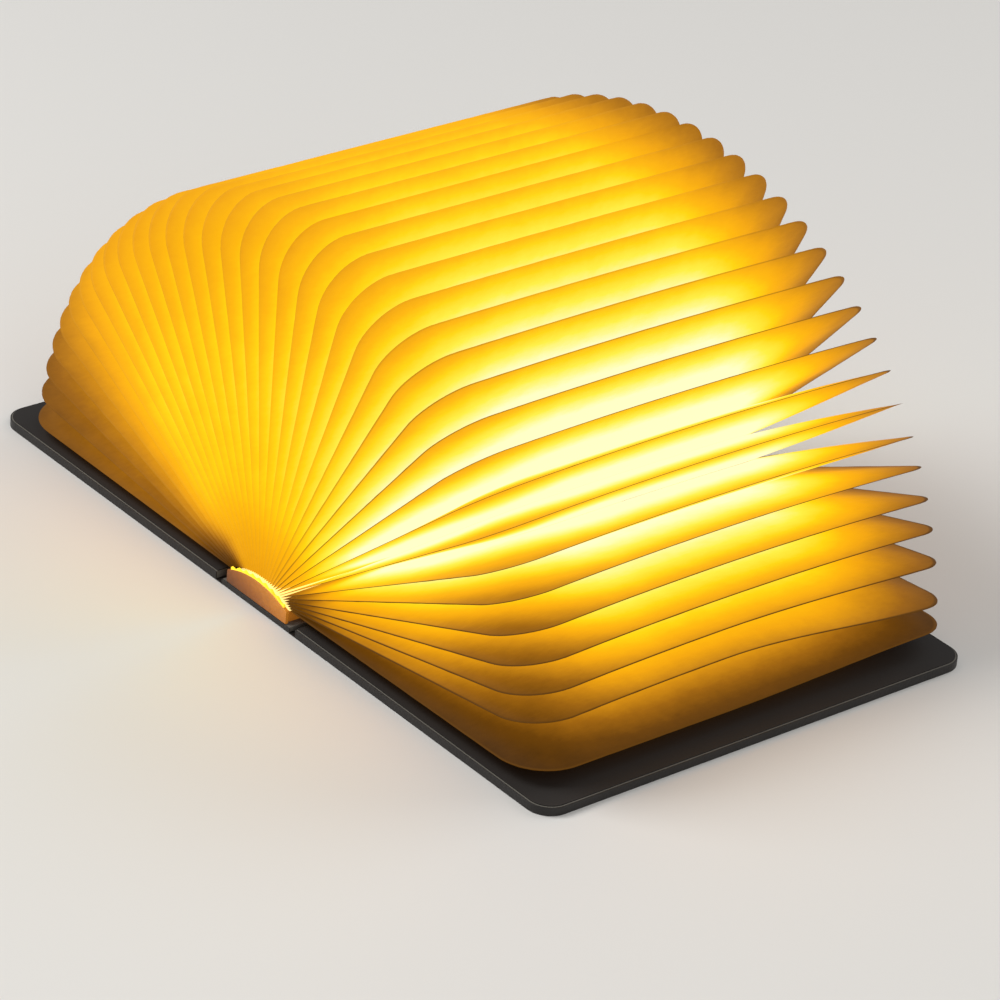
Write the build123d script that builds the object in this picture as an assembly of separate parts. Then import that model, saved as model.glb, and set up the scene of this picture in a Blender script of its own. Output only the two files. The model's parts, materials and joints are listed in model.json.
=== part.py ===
from build123d import *
import math
import os

# Folding book lamp, lying open at 180 degrees on its two covers. Millimetres.
# X runs across the open book, Y along the spine, Z up; the covers rest on Z = 0.

# ---- book ----
cover_length = 216.0          # head to tail
cover_fore_edge = 182.0       # from the middle of the spine, open
cover_inner_edge = 26.8
cover_corner = 10.0
skin = 0.4                    # leatherette wrap and paper lining
board = 3.2                   # greyboard of a cover
fit = 0.1                     # side clearance between board and wrap
spine_half = 22.8             # half width of the spine wrap
spine_plate = 2.0
strip_inner, strip_outer = 22.8, 26.6    # flexible hinge strip between spine and cover
cover_top = skin + board + skin

# ---- pages ----
pages = 37
middle_page = 19
page_margin = 2.0             # head and tail of the pages to those of the cover
page_height = cover_length - 2 * page_margin
page_length = 152.0           # root to outer seam
root_half = 19.6              # the roots stand on a shallow dome
root_side_z, root_rise = 8.35, 4.45
first_angle = 1.0
page_step = (90.0 - first_angle) / (middle_page - 1)
# the lowest pages on the right stand a little higher than even steps
right_lift = {2: 2.9, 3: 2.0, 4: 1.3, 5: 0.8, 6: 0.5}
seam_inset = 42.0             # outer seam to the inner U seam
seam_width = 1.3
ridge_corner, valley_corner = 16.0, 20.0
leaf = 0.24
root_start = 0.8
bond_gap = 0.2                # between the leaves that are glued along an inner seam
lining_gap = 0.2

# ---- light module ----
tray_half = 18.5
tray_end = cover_length / 2 - 3.0
tray_wall = 1.2
tray_floor_z = skin + spine_plate
tray_rim_z = 7.2
dome_z = 11.9
dome_wall = 1.2
cap_half = 19.8
cap_plate_y1 = cover_length / 2 - 0.2
cap_plate_y0 = cap_plate_y1 - 1.5
cap_top = 12.4
led_z = 6.6
led_board_t = 1.0
chip_x, chip_y, chip_z = 2.8, 3.5, 0.8
chip_rows = 2
chips_per_row = 16
magnet_d, magnet_t = 8.0, 2.0
screw_d, screw_head_d, screw_head_t, screw_length = 2.0, 3.6, 0.9, 9.0


def box(x0, x1, y0, y1, z0, z1):
    return Pos((x0 + x1) / 2, (y0 + y1) / 2, (z0 + z1) / 2) * Box(x1 - x0, y1 - y0, z1 - z0)


def both_sides(shape, side):
    return shape if side > 0 else mirror(shape, about=Plane.YZ)


def rod(x, y, z, diameter, length, axis="Z"):
    turned = {"Z": Rot(0, 0, 0), "X": Rot(0, 90, 0), "Y": Rot(90, 0, 0)}[axis]
    return Pos(x, y, z) * turned * Cylinder(diameter / 2, length)


# ---------------------------------------------------------------- pages
def root(k):
    x = root_half * (middle_page - k) / (middle_page - 1)
    return x, root_side_z + root_rise * (1 - (x / root_half) ** 2)


def angle(k):
    return first_angle + (k - 1) * page_step + right_lift.get(k, 0.0)


def directions(k):
    a = math.radians(angle(k))
    return (math.cos(a), math.sin(a)), (-math.sin(a), math.cos(a))


def side_plane(k, other):
    """Height of the plane between page k and its neighbour, in page k's own frame,
    as offset and slope along the page."""
    u, n = directions(k)
    ax, az = root(k)
    if 1 <= other <= pages:
        bx, bz = root(other)
        v, _ = directions(other)
        mid = ((bx - ax) / 2, (bz - az) / 2)
        way = ((u[0] + v[0]) / 2, (u[1] + v[1]) / 2)
        gap = bond_gap / 2
    else:
        # the outermost leaf comes down onto the lining of the cover
        mid = (0.0, cover_top + lining_gap - az)
        way = (1.0 if k == 1 else -1.0, 0.0)
        gap = 0.0
    c0, d0 = mid[0] * u[0] + mid[1] * u[1], mid[0] * n[0] + mid[1] * n[1]
    cu, dn = way[0] * u[0] + way[1] * u[1], way[0] * n[0] + way[1] * n[1]
    slope = dn / cu
    return d0 - c0 * slope, slope, gap


def u_path():
    """Stations along the outer seam and along the inner seam: (r, y) pairs, head to tail."""
    half = page_height / 2
    rc = page_length - ridge_corner
    yc = half - ridge_corner
    rv = page_length - seam_inset - valley_corner
    yv = half - seam_inset - valley_corner
    head = [((root_start, -half), (root_start, -half + seam_inset))]
    for t in (0, 30, 60, 90):
        s, c = math.sin(math.radians(t)), math.cos(math.radians(t))
        head.append(
            (
                (rc + ridge_corner * s, -yc - ridge_corner * c),
                (rv + valley_corner * s, -yv - valley_corner * c),
            )
        )
    tail = [((a, -b), (c, -d)) for (a, b), (c, d) in reversed(head)]
    return head + tail


def closed_solid(sides):
    return Solid(Shell([Face(Wire.make_polygon(side, close=True)) for side in sides]))


def folded_solid(rings):
    """Solid with flat triangles between successive section polygons. The two faces of a leaf
    are split along the same diagonal, so that they stay parallel, and head mirrors tail."""
    sides = [rings[0], rings[-1]]
    half = (len(rings) - 1) // 2
    for n, (a, b) in enumerate(zip(rings, rings[1:])):
        for i in range(len(a)):
            j = (i + 1) % len(a)
            # sides 2 and 5 run from valley to ridge, the others from ridge to valley
            if (i in (2, 5)) == (n < half):
                split = ([a[i], a[j], b[i]], [a[j], b[j], b[i]])
            else:
                split = ([a[i], a[j], b[j]], [a[i], b[j], b[i]])
            sides += split
    solid = closed_solid(sides)
    return solid if solid.volume > 0 else closed_solid([side[::-1] for side in sides])


def page(k):
    u, n = directions(k)
    ax, az = root(k)
    # n points to higher page numbers
    hi = side_plane(k, k + 1)
    lo = side_plane(k, k - 1)
    rings = []
    for (r, y), (rv, yv) in u_path():
        top = hi[0] + hi[1] * rv - hi[2]
        bottom = lo[0] + lo[1] * rv + lo[2]
        share = seam_width / seam_inset
        crotch = (r + (rv - r) * share, y + (yv - y) * share)
        # near the root the leaves lie close, so they are pressed thinner there
        t_top, t_bottom = min(leaf, 0.45 * top), min(leaf, -0.45 * bottom)
        section = [
            (r, y, t_top),
            (rv, yv, top),
            (rv, yv, top - t_top),
            (crotch[0], crotch[1], 0.0),
            (rv, yv, bottom + t_bottom),
            (rv, yv, bottom),
            (r, y, -t_bottom),
        ]
        rings.append(
            [Vector(ax + a * u[0] + c * n[0], b, az + a * u[1] + c * n[1]) for a, b, c in section]
        )
    return folded_solid(rings)


# ---------------------------------------------------------------- covers
def rounded_plate(x0, x1, half_y, z0, z1, radius):
    plate = box(x0, x1, -half_y, half_y, z0, z1)
    corners = plate.edges().filter_by(Axis.Z).sort_by(Axis.X)[-2:]
    return fillet(corners, radius)


def magnet_places():
    far = cover_length / 2 - 28.0
    places = [(cover_fore_edge - 10.0, y) for y in (-far, 0.0, far)]
    return places + [(cover_inner_edge + 7.0, -far)]


magnet_z0 = skin + 0.4
magnet_pocket = 0.1


def cover_board():
    edge = cover_fore_edge - skin - fit
    plate = rounded_plate(
        cover_inner_edge, edge, cover_length / 2 - skin - fit, skin, skin + board,
        cover_corner - skin - fit,
    )
    for x, y in magnet_places():
        depth = magnet_t + magnet_pocket
        plate -= rod(x, y, magnet_z0 + depth / 2, magnet_d + 2 * magnet_pocket, depth)
    return plate


def cover_wrap():
    outer = rounded_plate(
        strip_outer, cover_fore_edge, cover_length / 2, 0, skin + board, cover_corner
    )
    inner = rounded_plate(
        strip_outer - 1, cover_fore_edge - skin, cover_length / 2 - skin, skin,
        skin + board + 1, cover_corner - skin,
    )
    return outer - inner


def cover_lining():
    return rounded_plate(
        cover_inner_edge, cover_fore_edge - 1.0, cover_length / 2 - 1.0, skin + board,
        cover_top, cover_corner - 1.0,
    )


def cover_magnets():
    z = magnet_z0 + magnet_t / 2
    return [rod(x, y, z, magnet_d, magnet_t) for x, y in magnet_places()]


# ---------------------------------------------------------------- spine
def spine_wrap():
    half = cover_length / 2
    plate = box(-spine_half, spine_half, -half, half, 0, skin + spine_plate)
    return plate - box(
        -spine_half - 1, spine_half + 1, -half + skin, half - skin, skin, skin + spine_plate + 1
    )


def spine_board():
    half = cover_length / 2 - skin - fit
    return box(-spine_half + 0.4, spine_half - 0.4, -half, half, skin, skin + spine_plate)


def hinge_strip():
    half = cover_length / 2
    return box(strip_inner, strip_outer, -half, half, 0, skin)


# ---------------------------------------------------------------- light module
screw_x, screw_z = 15.0, 5.0
boss_length = 9.0


def tray():
    body = box(-tray_half, tray_half, -tray_end, tray_end, tray_floor_z, tray_rim_z)
    body -= box(
        -tray_half + tray_wall, tray_half - tray_wall, -tray_end + tray_wall,
        tray_end - tray_wall, tray_floor_z + tray_wall, tray_rim_z + 1,
    )
    for end in (-1, 1):
        for x in (-screw_x, screw_x):
            y = end * (tray_end - boss_length / 2)
            body += box(
                x - 2.4, x + 2.4, y - boss_length / 2, y + boss_length / 2,
                tray_floor_z, tray_rim_z,
            )
    # posts under the LED board
    for x in (-9.0, 9.0):
        for y in (12.0 - tray_end, 35.0 - tray_end):
            body += box(x - 1.5, x + 1.5, y - 1.5, y + 1.5, tray_floor_z, led_z)
    for x in (-16.0, 16.0):
        for y in (-40.0, 0.0, 40.0, 80.0):
            body += box(x - 1.4, x + 1.4, y - 2, y + 2, tray_floor_z, led_z)
    body -= box(-usb_half - 0.3, usb_half + 0.3, usb_y0 - 5, tray_end + 1, usb_z0 - 0.3, usb_z1 + 0.3)
    for x in (-screw_x, screw_x):
        body -= rod(x, tray_end - 4, screw_z, screw_d + 0.1, 10, "Y")
    return body


usb_half, usb_z0, usb_z1 = 4.5, 5.0, 7.0
usb_y0, usb_y1 = tray_end - 5.0, cap_plate_y1 - 0.6


def arc_profile(half, base, top, wall):
    """Dome section in XZ between two arcs."""
    outer = ThreePointArc((-half, base), (0, top), (half, base))
    inner = ThreePointArc(
        (half - wall, base), (0, top - wall), (-half + wall, base)
    )
    edges = [
        outer, Line((half, base), (half - wall, base)), inner,
        Line((-half + wall, base), (-half, base)),
    ]
    return make_face([Plane.XZ * e for e in edges])


def diffuser():
    profile = arc_profile(tray_half, tray_rim_z, dome_z, dome_wall)
    return Pos(0, tray_end, 0) * extrude(profile, amount=2 * tray_end, dir=(0, -1, 0))


def cap(end):
    y0, y1 = end * cap_plate_y0, end * cap_plate_y1
    outline = [
        Line((-cap_half, tray_floor_z + 0.1), (cap_half, tray_floor_z + 0.1)),
        Line((cap_half, tray_floor_z + 0.1), (cap_half, 8.0)),
        ThreePointArc((cap_half, 8.0), (0, cap_top), (-cap_half, 8.0)),
        Line((-cap_half, 8.0), (-cap_half, tray_floor_z + 0.1)),
    ]
    face = make_face([Plane.XZ * e for e in outline])
    plate = Pos(0, max(y0, y1), 0) * extrude(face, amount=abs(y1 - y0), dir=(0, -1, 0))
    foot = box(
        -tray_half, tray_half, min(end * tray_end, y0), max(end * tray_end, y0),
        tray_floor_z + 0.1, tray_rim_z,
    )
    shape = plate + foot
    if end < 0:
        return shape          # glued on; only the far cap comes off, for the socket and the boards
    shape -= box(-usb_half - 0.3, usb_half + 0.3, tray_end - 1, cap_plate_y1 + 1,
                 usb_z0 - 0.3, usb_z1 + 0.3)
    for x in (-screw_x, screw_x):
        shape -= rod(x, tray_end + 2, screw_z, screw_d + 0.2, 8, "Y")
        shape -= rod(x, cap_plate_y1 - screw_head_t / 2 + 0.5, screw_z,
                     screw_head_d + 0.3, screw_head_t + 1.0, "Y")
    return shape


def screws():
    out = []
    for x in (-screw_x, screw_x):
        body = rod(x, cap_plate_y1 - screw_head_t / 2, screw_z, screw_head_d, screw_head_t, "Y")
        tip = screw_length - screw_head_t
        body += rod(x, cap_plate_y1 - screw_head_t - tip / 2, screw_z, screw_d, tip, "Y")
        out.append(body)
    return out


led_half = 11.0
led_y0, led_y1 = 7.0 - tray_end, tray_end - 13.0


def led_board():
    plate = box(-led_half, led_half, led_y0, led_y1, led_z, led_z + led_board_t)
    for x in (-1, 1):
        for y in (-40.0, 0.0, 40.0, 80.0):
            plate += box(
                min(x * led_half, x * 15.6), max(x * led_half, x * 15.6), y - 2, y + 2,
                led_z, led_z + led_board_t,
            )
    return plate


def led_chips():
    out = []
    pitch = (led_y1 - led_y0 - 12) / (chips_per_row - 1)
    for row in range(chip_rows):
        x = (row - (chip_rows - 1) / 2) * 12.0
        for i in range(chips_per_row):
            y = led_y0 + 6 + i * pitch
            z = led_z + led_board_t
            out.append(box(x - chip_x / 2, x + chip_x / 2, y - chip_y / 2, y + chip_y / 2,
                           z, z + chip_z))
    return out


reed_y, reed_wires, reed_glass = 25.0 - tray_end, 22.0, 14.0
control_length = 61.0
control_y0 = tray_end - 2.0 - control_length
cell_gap = 10.5               # room for leads between the cell and its neighbours


def battery():
    z = tray_floor_z + tray_wall
    y0, y1 = reed_y + reed_wires / 2 + cell_gap, control_y0 - cell_gap
    cell = box(-14.0, 14.0, y0, y1, z, z + 2.6)
    return fillet(cell.edges().filter_by(Axis.Y), 1.0)


def control_board():
    z = tray_floor_z + tray_wall
    board_plate = box(-12.0, 12.0, control_y0, control_y0 + control_length, z + 0.4, z + 1.4)
    for x, along, a, b, h in ((-6, 16, 5, 5, 1.0), (5, 20, 4, 6, 1.2), (0, 36, 7, 5, 1.0)):
        y = control_y0 + along
        board_plate += box(x - a / 2, x + a / 2, y - b / 2, y + b / 2, z + 1.4, z + 1.4 + h)
    for x in (-10.0, 10.0):
        for along in (3.0, 50.0):
            board_plate += rod(x, control_y0 + along, z + 0.2, 2.4, 0.4)
    return board_plate


def usb_socket():
    y0, y1 = usb_y0, usb_y1
    shell = box(-usb_half, usb_half, y0, y1, usb_z0, usb_z1)
    hollow = box(-usb_half + 0.3, usb_half - 0.3, y0 + 0.8, y1 + 1, usb_z0 + 0.3, usb_z1 - 0.3)
    tongue = box(-usb_half + 1.2, usb_half - 1.2, y0 + 0.8, y1 - 0.8,
                 (usb_z0 + usb_z1) / 2 - 0.25, (usb_z0 + usb_z1) / 2 + 0.25)
    return shell - hollow + tongue


def reed_switch():
    z = tray_floor_z + tray_wall
    body = rod(-14.0, reed_y, z + 1.1, 2.2, reed_glass, "Y")
    return body + rod(-14.0, reed_y, z + 1.1, 0.8, reed_wires, "Y")


# ---------------------------------------------------------------- nodes
nodes = {}
for k in range(1, pages + 1):
    nodes[f"page_{k:02d}"] = page(k)
for name, side in (("front", -1), ("back", 1)):
    nodes[f"{name}_cover_board"] = both_sides(cover_board(), side)
    nodes[f"{name}_cover_wrap"] = both_sides(cover_wrap(), side)
    nodes[f"{name}_cover_lining"] = both_sides(cover_lining(), side)
    nodes[f"{name}_hinge_strip"] = both_sides(hinge_strip(), side)
    nodes[f"{name}_magnets"] = Compound(children=[both_sides(m, side) for m in cover_magnets()])
nodes["spine_wrap"] = spine_wrap()
nodes["spine_board"] = spine_board()
nodes["light_tray"] = tray()
nodes["light_diffuser"] = diffuser()
nodes["near_end_cap"] = cap(-1)
nodes["far_end_cap"] = cap(1)
nodes["led_board"] = led_board()
nodes["led_chips"] = Compound(children=led_chips())
nodes["battery"] = battery()
nodes["control_board"] = control_board()
nodes["usb_socket"] = usb_socket()
nodes["reed_switch"] = reed_switch()
nodes["case_screws"] = Compound(children=screws())

os.makedirs("parts", exist_ok=True)
for name, shape in nodes.items():
    export_step(shape, f"parts/{name}.step")
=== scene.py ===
import json
import math

import bmesh
import bpy
from bpy.props import FloatProperty, FloatVectorProperty, PointerProperty
from mathutils import Matrix, Vector
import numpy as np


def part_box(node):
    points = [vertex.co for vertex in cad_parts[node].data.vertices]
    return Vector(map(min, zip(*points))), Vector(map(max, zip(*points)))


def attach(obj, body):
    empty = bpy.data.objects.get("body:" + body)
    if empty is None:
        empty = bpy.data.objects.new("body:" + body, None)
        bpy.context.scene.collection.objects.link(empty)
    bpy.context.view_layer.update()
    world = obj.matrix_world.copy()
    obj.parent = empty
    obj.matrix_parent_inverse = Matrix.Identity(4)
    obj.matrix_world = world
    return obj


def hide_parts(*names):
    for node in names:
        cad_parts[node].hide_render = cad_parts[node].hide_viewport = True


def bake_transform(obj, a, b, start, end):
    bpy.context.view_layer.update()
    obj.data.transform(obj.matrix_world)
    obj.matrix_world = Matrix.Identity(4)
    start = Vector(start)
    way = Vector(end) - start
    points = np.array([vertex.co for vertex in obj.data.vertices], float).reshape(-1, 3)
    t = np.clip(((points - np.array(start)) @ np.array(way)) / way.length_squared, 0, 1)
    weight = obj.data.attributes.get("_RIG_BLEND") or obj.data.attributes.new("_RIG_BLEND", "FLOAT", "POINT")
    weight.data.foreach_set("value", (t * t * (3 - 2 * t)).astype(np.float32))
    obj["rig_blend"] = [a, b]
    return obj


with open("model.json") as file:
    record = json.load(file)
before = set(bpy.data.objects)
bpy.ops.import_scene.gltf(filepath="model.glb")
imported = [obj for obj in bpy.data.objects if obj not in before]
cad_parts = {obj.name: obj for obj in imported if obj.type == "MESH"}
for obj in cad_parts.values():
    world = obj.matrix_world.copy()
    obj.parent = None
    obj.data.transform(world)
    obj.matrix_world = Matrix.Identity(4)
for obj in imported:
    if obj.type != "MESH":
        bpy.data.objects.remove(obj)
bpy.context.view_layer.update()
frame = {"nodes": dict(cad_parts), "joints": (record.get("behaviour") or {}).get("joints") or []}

bl_info = {
    "name": "Folding book lamp",
    "version": (1, 0, 0),
    "blender": (4, 5, 0),
    "location": "3D View > Sidebar > Book lamp",
    "description": "Dresses the frame of a folding book lamp with pages, covers and a light module",
    "category": "Object",
}

MM = 0.001


# ---------------------------------------------------------------- sizes and colours
class BookLampPages(bpy.types.PropertyGroup):
    """The accordion fan of double pages"""

    length: FloatProperty(
        name="Page length", description="Root to outer seam, in millimetres", default=152.0, min=50
    )
    height: FloatProperty(
        name="Page height", description="Head to tail, in millimetres", default=212.0, min=50
    )
    inset: FloatProperty(
        name="Inner seam inset",
        description="Outer seam to the seam shared with the next page, in millimetres",
        default=42.0, min=5,
    )
    seam: FloatProperty(
        name="Seam width", description="Glued border of a page, in millimetres", default=1.3, min=0.2
    )
    near_corner: FloatProperty(
        name="Near outer corner", description="Corner radius of the outer seam at the head, in millimetres",
        default=21.0,
    )
    far_corner: FloatProperty(
        name="Far outer corner", description="Corner radius of the outer seam at the tail, in millimetres",
        default=12.0,
    )
    valley_corner: FloatProperty(
        name="Inner corner", description="Corner radius of the inner seam, in millimetres", default=20.0
    )
    thickness: FloatProperty(
        name="Sheet thickness", description="Drawn thickness of the sheet, in millimetres", default=0.16
    )
    bulge: FloatProperty(
        name="Bulge", description="How far a leaf bellies out, as a share of its rise", default=0.10
    )
    droop: FloatProperty(
        name="Droop", description="How far the ends of a lying page sink, in degrees", default=1.1
    )
    glow: FloatProperty(
        name="Glow", description="Strength of the light through the sheet", default=1.0, min=0
    )


class BookLampCover(bpy.types.PropertyGroup):
    """Covers, spine and hinge strips"""

    leather: FloatVectorProperty(
        name="Leatherette", description="Colour of the covers, linear",
        subtype="COLOR", size=3, default=(0.012, 0.010, 0.009),
    )
    edge_round: FloatProperty(
        name="Edge rounding", description="Radius of the wrapped board edges, in millimetres", default=0.6
    )


class BookLampStage(bpy.types.PropertyGroup):
    """Floor, lamps and camera"""

    lens: FloatProperty(name="Lens", description="Focal length in millimetres", default=169.0)
    key: FloatProperty(name="Key lamp", description="Power of the key lamp in watts", default=26.0)


# ---------------------------------------------------------------- materials
def linear(hex_colour):
    """sRGB hex such as "c8a060" to linear RGBA."""
    out = []
    for i in (0, 2, 4):
        c = int(hex_colour[i : i + 2], 16) / 255
        out.append(c / 12.92 if c <= 0.04045 else ((c + 0.055) / 1.055) ** 2.4)
    return (*out, 1.0)


def add(tree, kind, settings=None, **links):
    """One node with its settings and links: links maps an input's name, or _0, _1 for its number, to a
    socket or a value, and the setting "stops" lists the places and colours of a colour ramp."""
    node = tree.nodes.new(kind)
    for key, value in (settings or {}).items():
        if key == "stops":
            elements = node.color_ramp.elements
            while len(elements) < len(value):
                elements.new(0.5)
            for element, (place, colour) in zip(elements, value):
                element.position, element.color = place, colour
        else:
            setattr(node, key, value)
    for key, value in links.items():
        socket = node.inputs[int(key[1:])] if key[0] == "_" else node.inputs[key.replace("_", " ")]
        if isinstance(value, bpy.types.NodeSocket):
            tree.links.new(value, socket)
        else:
            socket.default_value = value
    return node


def new_material(name):
    material = bpy.data.materials.new(name)
    material.use_nodes = True
    tree = material.node_tree
    tree.nodes.clear()
    shader = add(tree, "ShaderNodeBsdfPrincipled")
    add(tree, "ShaderNodeOutputMaterial", Surface=shader.outputs["BSDF"])
    return material, tree, shader


def spunbond_sheet(glow):
    """Spunbond polyethylene sheet, flash-spun fibres pressed flat: cloudy, matt, lets light through.
    The glow stands for the light inside. It is strongest where a leaf runs into the fan and fades to
    the glued outer seam, which shows as a dark line only where the sheet is seen against the light."""
    material, tree, shader = new_material("spunbond sheet, lit")
    place = add(tree, "ShaderNodeTexCoord").outputs["Object"]
    level = add(tree, "ShaderNodeAttribute", {"attribute_name": "light"}).outputs["Fac"]
    ridge = add(tree, "ShaderNodeAttribute", {"attribute_name": "from_seam"}).outputs["Fac"]
    line = add(tree, "ShaderNodeAttribute", {"attribute_name": "seam_line"}).outputs["Fac"]
    # fibre clouds are 6 to 15 mm across
    clouds = add(
        tree, "ShaderNodeTexNoise", Vector=place, Scale=1 / (11 * MM), Detail=3.0, Roughness=0.6
    ).outputs["Fac"]
    # fibres lie along the spine, 0.02 mm thick, drawn 1.6 mm wide so that they show
    along = add(tree, "ShaderNodeMapping", Vector=place, Scale=(1.0, 0.35, 1.0)).outputs[0]
    fibres = add(
        tree, "ShaderNodeTexNoise", Vector=along, Scale=1 / (1.6 * MM), Detail=2.0, Roughness=0.6
    ).outputs["Fac"]
    for pattern, strength in ((clouds, 0.07), (fibres, 0.035)):
        level = add(
            tree, "ShaderNodeMath", {"operation": "MULTIPLY_ADD"}, _0=pattern, _1=strength, _2=level
        ).outputs[0]
    colour = add(
        tree, "ShaderNodeValToRGB",
        {
            "stops": (
                (0.00, linear("3c2304")),
                (0.15, linear("683f08")),
                (0.28, linear("9a6210")),
                (0.40, linear("c98714")),
                (0.52, linear("eea610")),
                (0.62, linear("fbb80e")),
                (0.72, linear("fed312")),
                (0.84, linear("ffea46")),
                (0.93, linear("fff28f")),
                (1.00, linear("fff7c4")),
            )
        },
        Fac=level,
    ).outputs["Color"]
    # the glue line is 0.8 mm wide, of the 42 mm from seam to seam
    bare = add(tree, "ShaderNodeMapRange", Value=ridge, _1=0.013, _2=0.028, _3=1.0, _4=0.0).outputs[0]
    dark = add(tree, "ShaderNodeMath", {"operation": "MULTIPLY"}, _0=bare, _1=line).outputs[0]
    sheet = add(
        tree, "ShaderNodeMix", {"data_type": "RGBA"}, _0=dark, _6=colour, _7=linear("5c3803")
    ).outputs[2]
    # most of the colour is glow, the surface itself takes the rest
    surface = add(
        tree, "ShaderNodeMix", {"data_type": "RGBA", "blend_type": "MULTIPLY"}, _0=1.0, _6=sheet,
        _7=(0.12, 0.12, 0.12, 1),
    ).outputs[2]
    tree.links.new(surface, shader.inputs["Base Color"])
    tree.links.new(sheet, shader.inputs["Emission Color"])
    shader.inputs["Emission Strength"].default_value = 0.94 * glow
    shader.inputs["Roughness"].default_value = 0.75
    shader.inputs["Specular IOR Level"].default_value = 0.2
    bump = add(tree, "ShaderNodeBump", Strength=0.12, Distance=0.0004, Height=fibres)
    tree.links.new(bump.outputs[0], shader.inputs["Normal"])
    return material


def leatherette(colour):
    """PVC leatherette, embossed and calendered on cloth: black, pebbled grain about 1 mm, satin."""
    material, tree, shader = new_material("leatherette, black embossed")
    place = add(tree, "ShaderNodeTexCoord").outputs["Object"]
    grain = add(
        tree, "ShaderNodeTexVoronoi", {"feature": "SMOOTH_F1"}, Vector=place, Scale=1.0 / (1.1 * MM)
    ).outputs["Distance"]
    # handling leaves cloudy patches about 18 mm across
    clouds = add(
        tree, "ShaderNodeTexNoise", Vector=place, Scale=1 / (18 * MM), Detail=3.0
    ).outputs["Fac"]
    stops = ((0.3, (*[c * 0.8 for c in colour], 1)), (0.7, (*[c * 1.5 for c in colour], 1)))
    tone = add(tree, "ShaderNodeValToRGB", {"stops": stops}, Fac=clouds).outputs["Color"]
    tree.links.new(tone, shader.inputs["Base Color"])
    rough = add(tree, "ShaderNodeMapRange", Value=clouds, _3=0.42, _4=0.58).outputs[0]
    tree.links.new(rough, shader.inputs["Roughness"])
    shader.inputs["Specular IOR Level"].default_value = 0.4
    bump = add(tree, "ShaderNodeBump", Strength=0.35, Distance=0.00025, Height=grain)
    tree.links.new(bump.outputs[0], shader.inputs["Normal"])
    return material


def plain(name, colour, roughness, metallic=0.0, grain_mm=0.6, strength=0.08, glow=0.0, spread=0.06):
    """A moulded, rolled or pressed surface with a fine even grain."""
    material, tree, shader = new_material(name)
    place = add(tree, "ShaderNodeTexCoord").outputs["Object"]
    clouds = add(
        tree, "ShaderNodeTexNoise", Vector=place, Scale=1 / (9 * MM), Detail=3.0
    ).outputs["Fac"]
    low = tuple(c * (1 - spread) for c in linear(colour)[:3]) + (1,)
    high = tuple(min(1, c * (1 + spread)) for c in linear(colour)[:3]) + (1,)
    tone = add(
        tree, "ShaderNodeValToRGB", {"stops": ((0.3, low), (0.7, high))}, Fac=clouds
    ).outputs["Color"]
    tree.links.new(tone, shader.inputs["Base Color"])
    shader.inputs["Roughness"].default_value = roughness
    shader.inputs["Metallic"].default_value = metallic
    if glow:
        tree.links.new(tone, shader.inputs["Emission Color"])
        shader.inputs["Emission Strength"].default_value = glow
    fine = add(
        tree, "ShaderNodeTexNoise", Vector=place, Scale=1 / (grain_mm * MM), Detail=2.0
    ).outputs["Fac"]
    bump = add(tree, "ShaderNodeBump", Strength=strength, Distance=0.0002, Height=fine)
    tree.links.new(bump.outputs[0], shader.inputs["Normal"])
    return material


def amber_moulding():
    """Amber ABS, injection moulded, satin. Light leaks through it from behind, so it glows dull orange,
    most towards the top and the side of the back cover."""
    material, tree, shader = new_material("amber ABS, moulded, lit from behind")
    place = add(tree, "ShaderNodeTexCoord").outputs["Object"]
    axes = add(tree, "ShaderNodeSeparateXYZ", Vector=place)
    sideways = add(
        tree, "ShaderNodeMapRange", Value=axes.outputs["X"], _1=-20 * MM, _2=20 * MM, _3=0.0, _4=0.55
    ).outputs[0]
    upwards = add(
        tree, "ShaderNodeMapRange", Value=axes.outputs["Z"], _1=2 * MM, _2=12 * MM, _3=0.0, _4=0.35
    ).outputs[0]
    # flow marks of the moulding, 4 mm apart
    flow = add(
        tree, "ShaderNodeTexNoise", Vector=place, Scale=1 / (4 * MM), Detail=3.0, Distortion=1.2
    ).outputs["Fac"]
    level = add(tree, "ShaderNodeMath", {"operation": "ADD"}, _0=sideways, _1=upwards).outputs[0]
    level = add(
        tree, "ShaderNodeMath", {"operation": "MULTIPLY_ADD"}, _0=flow, _1=0.25, _2=level
    ).outputs[0]
    stops = ((0.1, linear("4a260c")), (0.5, linear("8c4f14")), (0.9, linear("c27a22")))
    tone = add(tree, "ShaderNodeValToRGB", {"stops": stops}, Fac=level).outputs["Color"]
    tree.links.new(tone, shader.inputs["Base Color"])
    tree.links.new(tone, shader.inputs["Emission Color"])
    shader.inputs["Emission Strength"].default_value = 0.4
    shader.inputs["Roughness"].default_value = 0.5
    # spark-eroded mould texture, 0.1 mm, drawn 0.5 mm so that it shows
    fine = add(tree, "ShaderNodeTexNoise", Vector=place, Scale=1 / (0.5 * MM)).outputs["Fac"]
    bump = add(tree, "ShaderNodeBump", Strength=0.15, Distance=0.0002, Height=fine)
    tree.links.new(bump.outputs[0], shader.inputs["Normal"])
    return material


# ---------------------------------------------------------------- page geometry, in millimetres
# pages are counted from the back cover, and j counts from the cover of a page's own side
PAGES, MIDDLE = 37, 19
# the roots stand on an arch this wide on either side, this high at its foot and rising this much
ROOT_HALF, ROOT_Z, ROOT_RISE = 19.6, 8.35, 4.45
# degrees over the table of the lowest page, and from page to page
FIRST_ANGLE = 1.0
PAGE_STEP = (90.0 - FIRST_ANGLE) / (MIDDLE - 1)
# degrees that the low pages on the right stand higher than even spacing, and that their tails turn up
RIGHT_LIFT = {2: 2.9, 3: 2.0, 4: 1.3, 5: 0.8, 6: 0.5}
TAIL_TWIST = {1: 0.9, 2: -2.6, 3: -0.7}
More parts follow.
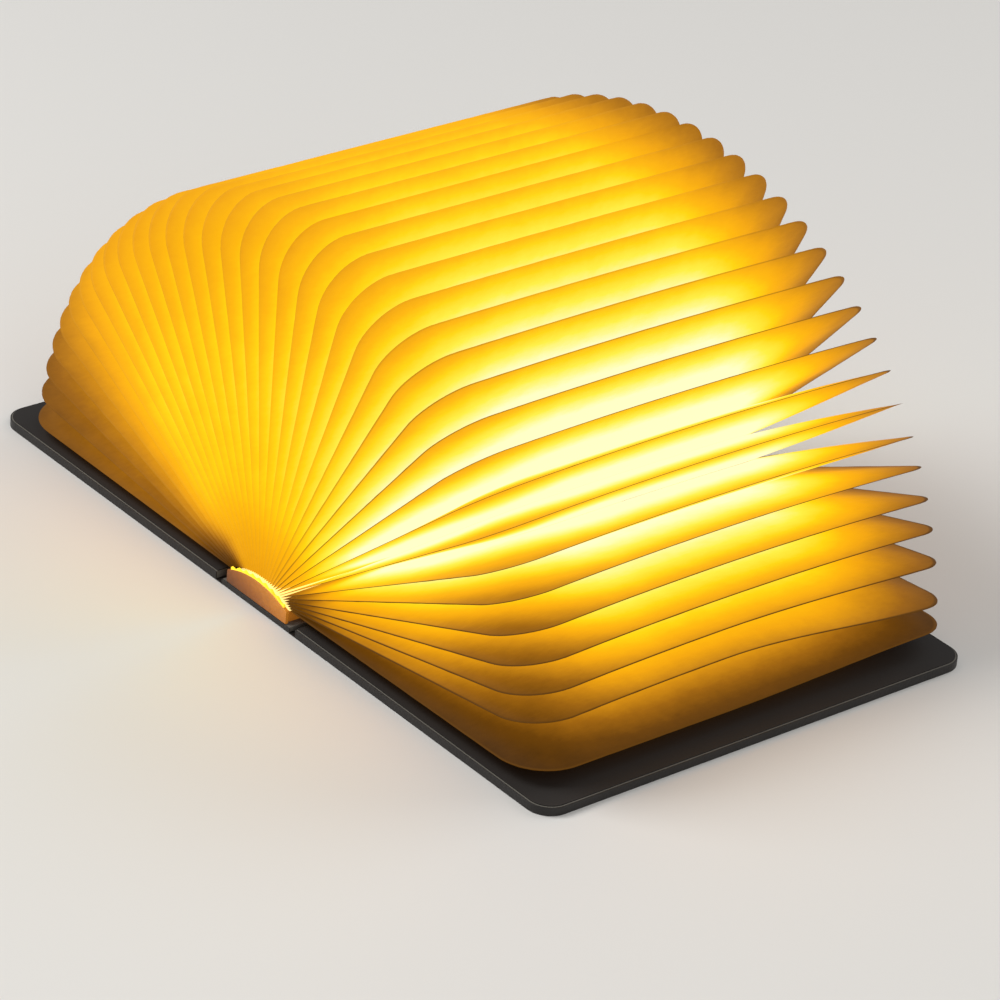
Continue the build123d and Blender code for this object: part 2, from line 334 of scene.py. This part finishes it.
# share of the light that reaches them
RIGHT_LIGHT = {1: 0.31, 2: 0.70, 3: 0.83, 4: 0.90, 5: 0.93, 6: 0.96}
# top of the lining paper, half the gap in a glued seam, and the cover's hinge as (x, z)
LINING_Z = 4.2
BOND = 0.1
HINGE = (24.0, 0.6)
# shut, this share of a pleat's height is left
SHUT_HEIGHT = 0.06
# roots of the pages under this number stay in their binding, and the sheet bends this near to it
FIRST_STIFF_ROOT = 12
ROOT_BEND = 10.0
# a leaf starts this far out from its root
ROOT_START = 0.8
# cells of a leaf along its seam and across it, and how much finer they get towards the seam
CELLS_ALONG, CELLS_ACROSS, CELL_GRADING = 96, 12, 1.6


def page_root(k):
    x = ROOT_HALF * (MIDDLE - k) / (MIDDLE - 1)
    return x, ROOT_Z + ROOT_RISE * (1 - (x / ROOT_HALF) ** 2)


def side_angle(j, right):
    """Degrees from its own side's horizontal of the page that is number j counted from its cover."""
    return FIRST_ANGLE + (j - 1) * PAGE_STEP + (RIGHT_LIFT.get(j, 0.0) if right else 0.0)


def neighbour_plane(j, other, right):
    """Height over page j of the plane it shares with its neighbour: (offset, slope) along the page."""
    a = math.radians(side_angle(j, right))
    u, n = (math.cos(a), math.sin(a)), (-math.sin(a), math.cos(a))
    ax, az = page_root(j)
    if other >= 1:
        b = math.radians(side_angle(other, right))
        bx, bz = page_root(other)
        mid = ((bx - ax) / 2, (bz - az) / 2)
        way = ((u[0] + math.cos(b)) / 2, (u[1] + math.sin(b)) / 2)
    else:
        mid, way = (0.0, LINING_Z - az), (1.0, 0.0)
    c0, d0 = mid[0] * u[0] + mid[1] * u[1], mid[0] * n[0] + mid[1] * n[1]
    slope = (way[0] * n[0] + way[1] * n[1]) / (way[0] * u[0] + way[1] * u[1])
    return d0 - c0 * slope, slope


def seam_station(sizes, s):
    """(r, y) on the outer seam and on the inner seam at share s of the way round, head to tail."""
    tail = s > 0.5
    half, vc = sizes.height / 2, sizes.valley_corner
    rc = sizes.far_corner if tail else sizes.near_corner
    outer = (sizes.length - rc, half - rc)
    inner = (sizes.length - sizes.inset - vc, half - sizes.inset - vc)
    t = 1 - s if tail else s
    # shares of the half way round: side, corner, half the fore-edge
    side, corner = 0.21, 0.34
    if t <= side:
        f = t / side
        places = [
            (ROOT_START + (c[0] - ROOT_START) * f, -c[1] - e) for c, e in ((outer, rc), (inner, vc))
        ]
    elif t <= corner:
        a = (t - side) / (corner - side) * math.pi / 2
        places = [
            (c[0] + e * math.sin(a), -c[1] - e * math.cos(a)) for c, e in ((outer, rc), (inner, vc))
        ]
    else:
        f = (t - corner) / (0.5 - corner)
        places = [(c[0] + e, -c[1] * (1 - f)) for c, e in ((outer, rc), (inner, vc))]
    return [(r, -y if tail else y) for r, y in places]


def page_body(k):
    if k in (1, 37):
        return "back_cover" if k == 1 else "front_cover"
    return "spine" if k == MIDDLE else f"leaf_{k:02d}"


def smooth(t):
    t = max(0.0, min(1.0, t))
    return t * t * (3 - 2 * t)


def page_centre(name):
    """Axis of the joint that turns this body: (x, z) in millimetres, at the right-hand side."""
    for joint in frame["joints"]:
        if joint["child"] == name:
            return abs(joint["pos_m"][0]) / MM, joint["pos_m"][2] / MM
    return None


def bend_share(j, right, h, r, x, z):
    """How much of its body's turn a point takes, so that the pleats close as the book shuts. j counts
    from the cover to the middle page, h is the height over the page's plane that has to close, and
    x and z are the point on the right-hand side."""
    if j == 1:
        centre, turn = HINGE, math.pi / 2
    else:
        follow = min(j, MIDDLE - 1)
        centre = page_centre(f"leaf_{follow if right else 2 * MIDDLE - follow:02d}")
        turn = math.radians(90 - side_angle(follow, right))
    a = math.radians(side_angle(j, right))
    along = (x - centre[0]) * math.cos(a) + (z - centre[1]) * math.sin(a)
    # near its axis a point would turn too far
    least_reach = 12.0
    step = (1 - SHUT_HEIGHT) * h / max(along, least_reach)
    share = -step / turn if j == MIDDLE else 1.0 - step / turn
    return share * smooth(r / ROOT_BEND) if j < FIRST_STIFF_ROOT else share


def droop(sizes, angle, y):
    """Degrees by which head and tail of a lying page sink below its middle; an upright page stands."""
    # so the page as a whole keeps its height
    held = 0.4
    return -sizes.droop * math.cos(angle) * ((2 * y / sizes.height) ** 2 - held)


def tail_twist(sizes, j, right, y):
    """Degrees by which the tail of one of the lowest pages on the right is turned up; the first two
    have come together there."""
    # the twist starts a little on the head's side of the middle
    start = 0.1
    return TAIL_TWIST.get(j, 0.0) * smooth(start + 2 * y / sizes.height) if right else 0.0


def mesh_of(bm, name):
    """The mesh of a finished bmesh, with its faces turned outwards."""
    bmesh.ops.recalc_face_normals(bm, faces=bm.faces)
    mesh = bpy.data.meshes.new(name)
    bm.to_mesh(mesh)
    bm.free()
    return mesh


def place_piece(name, mesh, material):
    mesh.materials.append(material)
    piece = bpy.data.objects.new(name, mesh)
    bpy.context.scene.collection.objects.link(piece)
    return piece


def thicken(piece, name, thickness_mm):
    solid = piece.modifiers.new(name, "SOLIDIFY")
    solid.thickness = thickness_mm * MM
    solid.offset = 0.0


def page_mesh(name, j, right, sizes, sides):
    """One double page: a grid laid round the seam, its rows carried to their places. sides are the
    leaves that it has, -1 the one nearer the cover and 1 the one nearer the middle."""
    flip = 1 if right else -1
    a = math.radians(side_angle(j, right))
    u, n = (math.cos(a), math.sin(a)), (-math.sin(a), math.cos(a))
    ax, az = page_root(j)
    planes = {1: neighbour_plane(j, j + 1, right), -1: neighbour_plane(j, j - 1, right)}
    bm = bmesh.new()
    bmesh.ops.create_grid(bm, x_segments=CELLS_ALONG, y_segments=CELLS_ACROSS * len(sides), size=1.0)
    layers = {
        name: bm.verts.layers.float.new(name) for name in ("from_seam", "light", "seam_line", "share")
    }
    for v in bm.verts:
        s, q = (v.co.x + 1) / 2, (v.co.y + 1) / 2
        if len(sides) == 2:
            side, d = (1, 2 * q - 1) if q >= 0.5 else (-1, 1 - 2 * q)
        else:
            side, d = sides[0], q
        d = d ** CELL_GRADING
        (r0, y0), (r1, y1) = seam_station(sizes, s)
        r, y = r0 + (r1 - r0) * d, y0 + (y1 - y0) * d
        offset, slope = planes[side]
        top = abs(offset + slope * r1) - (BOND if j > 1 or side > 0 else 0.0)
        glued = sizes.seam / sizes.inset
        rise = max(0.0, (d - glued) / (1 - glued))
        belly = sizes.bulge * math.sin(math.pi * rise) * (0.4 + 0.6 * smooth(r1 / 60))
        h = side * top * (rise + belly)
        # the outer seam twists and droops, the inner seams stay with their neighbours
        lies_on_cover = j == 1 and side < 0
        sinks = droop(sizes, a, y) if j > 1 or not right else 0.0
        off = r * math.radians(
            sinks * (1 - d if lies_on_cover else 1) + tail_twist(sizes, j, right, y) * (1 - d)
        )
        closing = off if lies_on_cover else h + off
        h += off
        v[layers["share"]] = bend_share(
            j, right, closing, r, ax + r * u[0] + h * n[0], az + r * u[1] + h * n[1]
        )
        v[layers["from_seam"]] = d
        v[layers["light"]] = page_light(j, right, r, y, d)
        v[layers["seam_line"]] = seam_line(j, right)
        v.co = Vector((flip * (ax + r * u[0] + h * n[0]), y, az + r * u[1] + h * n[1])) * MM
    mesh = mesh_of(bm, name)
    for face in mesh.polygons:
        face.use_smooth = True
    return mesh


def seam_line(j, right):
    """How dark the glue line shows: full where the leaves cross the line of sight to the lamp."""
    return 1 - smooth((j - 8) / 8) if right else 0.0


def page_light(j, right, r, y, d):
    """Share of the lamp's light that comes through at a spot of a page: r from the root, y along the
    spine, d the share of the way from the outer seam to the inner one."""
    # the low pages on the right lie beside the lamp, whose dome shines upwards
    beside = 1 - smooth((j - 4) / 5) if right else 0.0
    low = RIGHT_LIGHT.get(j, 1.0) if right else 0.36 + 0.64 * smooth((j - 1) / 7.5)
    # the lowest page gets its light from the one over it
    if right and j == 1:
        low *= 0.55 + 1.7 * d
    # more light comes into a pleat near the inner seam
    at_seam, gained = 0.60 - 0.10 * beside, 0.49 + 0.03 * beside
    depth = at_seam + gained * (1 - (1 - d) ** 2.2)
    # past the end of the inner seam, 40 to 106 mm from the middle, it has to come along the pleat
    past = smooth((abs(y) - 40) / 66)
    out = smooth((r - 65) / 80)
    end = 0.49 if y > 0 else 1.06 - 0.24 * out - beside * (0.15 + 0.29 * out)
    # the roots stand in the shade of the dome's edge, those of the low pages most
    low_root = 0.5 * (1 - smooth((j - 5) / 6)) * (1 - smooth(r / 30))
    shade = low_root + 0.24 * (1 - smooth(r / 40))
    # the paper's clouds and fibres add this much again
    pattern = 0.05
    return depth * low * (1 - past * (1 - end)) * (1 - shade) - pattern


def make_page(k, sizes, material):
    right = k <= MIDDLE
    if k == MIDDLE:
        jobs = [("page_19_right", MIDDLE, True, [-1], "leaf_18"),
                ("page_19_left", MIDDLE, False, [-1], "leaf_20")]
    else:
        j = k if right else 2 * MIDDLE - k
        jobs = [(f"page_{k:02d}_pleat", j, right, [-1, 1], page_body(k))]
    for name, j, right, sides, body in jobs:
        mesh = page_mesh(name, j, right, sizes, sides)
        piece = place_piece(name, mesh, material)
        thicken(piece, "sheet", sizes.thickness)
        shares = [0.0] * len(mesh.vertices)
        mesh.attributes["share"].data.foreach_get("value", shares)
        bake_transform(piece, "spine", body, start=(0, 0, 0), end=((0.15 if right else -0.15), 0, 0))
        mesh.attributes["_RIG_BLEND"].data.foreach_set("value", shares)
    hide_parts(f"page_{k:02d}")


# ---------------------------------------------------------------- operators
class BOOKLAMP_OT_pages(bpy.types.Operator):
    """Lay the pleated pages over their CAD solids"""

    bl_idname = "booklamp.pages"
    bl_label = "Pages"

    def execute(self, context):
        sizes = context.scene.book_lamp_pages
        material = spunbond_sheet(sizes.glow)
        for k in range(1, PAGES + 1):
            make_page(k, sizes, material)
        return {"FINISHED"}


def give(node, material):
    piece = frame["nodes"][node]
    piece.data.materials.clear()
    piece.data.materials.append(material)
    return piece


def soften(piece, width_mm, segments=3):
    weld = piece.modifiers.new("weld", "WELD")
    weld.merge_threshold = 0.00001
    bevel = piece.modifiers.new("edge", "BEVEL")
    bevel.width = width_mm * MM
    bevel.segments = segments
    bevel.limit_method = "ANGLE"
    bevel.angle_limit = math.radians(40)
    for face in piece.data.polygons:
        face.use_smooth = False


class BOOKLAMP_OT_covers(bpy.types.Operator):
    """Finish the covers and the spine in leatherette, board and lining paper"""

    bl_idname = "booklamp.covers"
    bl_label = "Covers and spine"

    def execute(self, context):
        cover = context.scene.book_lamp_cover
        leather = leatherette(tuple(cover.leather))
        board = plain("greyboard, pressed", "6b675f", 0.9, grain_mm=0.8, strength=0.2)
        lining = plain("lining paper, black, uncoated", "1b1714", 0.8, grain_mm=0.5, strength=0.15)
        for side in ("front", "back"):
            soften(give(f"{side}_cover_wrap", leather), cover.edge_round)
            give(f"{side}_cover_board", board)
            give(f"{side}_cover_lining", lining)
            give(f"{side}_magnets", plain("nickel plated magnet", "b8b8bc", 0.25, 1.0))
        soften(give("spine_wrap", leather), 0.3)
        give("spine_board", board)
        return {"FINISHED"}


class BOOKLAMP_OT_hinges(bpy.types.Operator):
    """Lay the flexible leatherette strips between spine and covers"""

    bl_idname = "booklamp.hinges"
    bl_label = "Hinge strips"

    def execute(self, context):
        leather = bpy.data.materials["leatherette, black embossed"]
        for side, sign in (("front", -1), ("back", 1)):
            low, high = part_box(f"{side}_hinge_strip")
            bm = bmesh.new()
            bmesh.ops.create_grid(bm, x_segments=14, y_segments=4, size=1.0)
            for v in bm.verts:
                share = (v.co.x + 1) / 2
                # pressed into a groove 0.12 mm deep
                groove = 0.12 * MM * math.sin(math.pi * share)
                v.co = Vector((
                    low.x + (high.x - low.x) * share,
                    low.y + (high.y - low.y) * (v.co.y + 1) / 2,
                    high.z / 2 + groove,
                ))
            name = f"{side}_hinge_leather"
            strip = place_piece(name, mesh_of(bm, name), leather)
            thicken(strip, "skin", 0.36)
            inner, outer = (low.x, high.x) if sign > 0 else (high.x, low.x)
            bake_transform(strip, "spine", f"{side}_cover", start=(inner, 0, 0), end=(outer, 0, 0))
            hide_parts(f"{side}_hinge_strip")
        return {"FINISHED"}


def root_binding(name, cap, material):
    """Folded ends of the page roots, which stand as teeth over the rounded top of an end cap. cap is
    the cap's box."""
    low, high = cap
    outer = low.y < 0
    # the cap is straight for 2.2 mm at either foot, and its arch is 4.4 mm high
    tooth, height, depth, tucked = 4.4 * MM, 1.2 * MM, 1.0 * MM, 0.5 * MM
    half, shoulder = (high.x - low.x) / 2 - 2.2 * MM, high.z - 4.4 * MM
    rise = high.z - shoulder
    radius = (high.x ** 2 + rise ** 2) / (2 * rise)
    bm = bmesh.new()
    bmesh.ops.create_grid(bm, x_segments=96, y_segments=1, size=1.0)
    # set back from the face of the cap
    face_y = low.y + 0.3 * MM if outer else high.y - 0.3 * MM
    for v in bm.verts:
        x = v.co.x * half
        arc = high.z - radius + math.sqrt(radius ** 2 - x ** 2)
        fold = abs((x / tooth) % 1 - 0.5) * 2
        v.co = Vector((x, face_y, arc + height * fold if v.co.y > 0 else arc - tucked))
    made = bmesh.ops.extrude_face_region(bm, geom=bm.faces[:])
    moved = [v for v in made["geom"] if isinstance(v, bmesh.types.BMVert)]
    bmesh.ops.translate(bm, verts=moved, vec=(0, depth if outer else -depth, 0))
    piece = place_piece(name, mesh_of(bm, name), material)
    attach(piece, "spine")


class BOOKLAMP_OT_module(bpy.types.Operator):
    """Finish the light module under the page roots"""

    bl_idname = "booklamp.module"
    bl_label = "Light module"

    def execute(self, context):
        plastic = amber_moulding()
        opal = plain("opal polycarbonate, extruded", "ffe08a", 0.45, glow=1.0)
        binding = plain("folded sheet at the roots, lit", "ffcf2a", 0.6, glow=0.85, spread=0.25)
        board = plain("solder mask, white", "dfe2dc", 0.4)
        chip = plain("phosphor over LED chips", "ffe9a0", 0.4, glow=2.0)
        foil = plain("foil pouch of a flat cell", "c4c6ca", 0.35, 0.9)
        steel = plain("plated steel", "a8a8a6", 0.3, 1.0)
        glass = plain("glass reed tube", "b8c4b8", 0.15)
        for names, material in (
            (("light_tray", "near_end_cap", "far_end_cap"), plastic),
            (("light_diffuser",), opal),
            (("led_board", "control_board"), board),
            (("led_chips",), chip),
            (("battery",), foil),
            (("usb_socket", "case_screws"), steel),
            (("reed_switch",), glass),
        ):
            for name in names:
                give(name, material)
        for end in ("near_end_cap", "far_end_cap"):
            soften(frame["nodes"][end], 0.4)
            root_binding(end.replace("end_cap", "root_binding"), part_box(end), binding)
        return {"FINISHED"}


class BOOKLAMP_OT_stage(bpy.types.Operator):
    """Floor, world, lamps and camera"""

    bl_idname = "booklamp.stage"
    bl_label = "Stage"

    def execute(self, context):
        scene = context.scene
        stage = scene.book_lamp_stage
        bm = bmesh.new()
        bmesh.ops.create_grid(bm, x_segments=1, y_segments=1, size=6.0)
        # 0.05 mm under the covers, so that the faces don't coincide
        bmesh.ops.translate(bm, verts=bm.verts, vec=(0, 0, -0.05 * MM))
        material, tree, shader = new_material("painted floor, pale")
        shader.inputs["Base Color"].default_value = linear("dcdad6")
        shader.inputs["Roughness"].default_value = 0.6
        place_piece("floor", mesh_of(bm, "floor"), material)

        world = bpy.data.worlds.new("soft room")
        world.use_nodes = True
        scene.world = world
        tree = world.node_tree
        tree.nodes.clear()
        path = add(tree, "ShaderNodeLightPath")
        lit = add(tree, "ShaderNodeBackground", Color=(0.80, 0.80, 0.80, 1), Strength=0.42)
        seen = add(tree, "ShaderNodeBackground", Color=(0.86, 0.85, 0.83, 1), Strength=1.0)
        mixed = add(
            tree, "ShaderNodeMixShader", _0=path.outputs["Is Camera Ray"], _1=lit.outputs[0],
            _2=seen.outputs[0],
        )
        add(tree, "ShaderNodeOutputWorld", Surface=mixed.outputs[0])

        for name, place, aim, size, power in (
            ("key", (-0.9, -1.0, 1.5), (0, 0, 0.06), 1.0, stage.key),
            ("fill", (1.5, -0.4, 1.1), (0, 0, 0.06), 1.2, stage.key * 0.35),
            ("back", (0.2, 1.5, 1.2), (0, 0, 0.06), 1.2, stage.key * 0.35),
        ):
            data = bpy.data.lights.new(name, "AREA")
            data.size, data.energy = size, power
            lamp = bpy.data.objects.new(name, data)
            scene.collection.objects.link(lamp)
            lamp.location = place
            lamp.rotation_mode = "QUATERNION"
            lamp.rotation_quaternion = (Vector(aim) - Vector(place)).to_track_quat("-Z", "Y")

        # the camera is fitted to the seam lines of the pages: its axes, its distance and what it aims at
        back = Vector((0.6614, -0.5660, 0.4921)).normalized()
        right = Vector((0.6164, 0.7840, 0.0731))
        up = Vector((-0.4272, 0.2549, 0.8674))
        data = bpy.data.cameras.new("camera")
        data.sensor_width = 36.0
        data.lens = stage.lens
        data.shift_x, data.shift_y = 0.0335, 0.0666
        data.clip_end = 50
        camera = bpy.data.objects.new("camera", data)
        scene.collection.objects.link(camera)
        distance, aim = 1.9214, Vector((0, 0, -0.0128))
        place = aim + back * distance
        camera.matrix_world = Matrix((
            (right.x, up.x, back.x, place.x),
            (right.y, up.y, back.y, place.y),
            (right.z, up.z, back.z, place.z),
            (0, 0, 0, 1),
        ))
        scene.camera = camera
        scene.view_settings.view_transform = "Standard"
        return {"FINISHED"}


class BOOKLAMP_PT_panel(bpy.types.Panel):
    """Sizes, colours and pieces of the book lamp"""

    bl_idname = "BOOKLAMP_PT_panel"
    bl_label = "Book lamp"
    bl_space_type = "VIEW_3D"
    bl_region_type = "UI"
    bl_category = "Book lamp"

    def draw(self, context):
        scene = context.scene
        for group in (scene.book_lamp_pages, scene.book_lamp_cover, scene.book_lamp_stage):
            box = self.layout.box()
            for name in group.__annotations__:
                box.prop(group, name)
        for operator in OPERATORS:
            self.layout.operator(operator.bl_idname)


OPERATORS = (
    BOOKLAMP_OT_pages, BOOKLAMP_OT_covers, BOOKLAMP_OT_hinges, BOOKLAMP_OT_module,
    BOOKLAMP_OT_stage,
)
CLASSES = (BookLampPages, BookLampCover, BookLampStage, *OPERATORS, BOOKLAMP_PT_panel)


def register():
    for cls in CLASSES:
        bpy.utils.register_class(cls)
    bpy.types.Scene.book_lamp_pages = PointerProperty(type=BookLampPages)
    bpy.types.Scene.book_lamp_cover = PointerProperty(type=BookLampCover)
    bpy.types.Scene.book_lamp_stage = PointerProperty(type=BookLampStage)


def unregister():
    del bpy.types.Scene.book_lamp_stage
    del bpy.types.Scene.book_lamp_cover
    del bpy.types.Scene.book_lamp_pages
    for cls in reversed(CLASSES):
        bpy.utils.unregister_class(cls)


def main():
    register()
    bpy.ops.booklamp.pages()
    bpy.ops.booklamp.covers()
    bpy.ops.booklamp.hinges()
    bpy.ops.booklamp.module()
    bpy.ops.booklamp.stage()


if __name__ == "__main__":
    main()
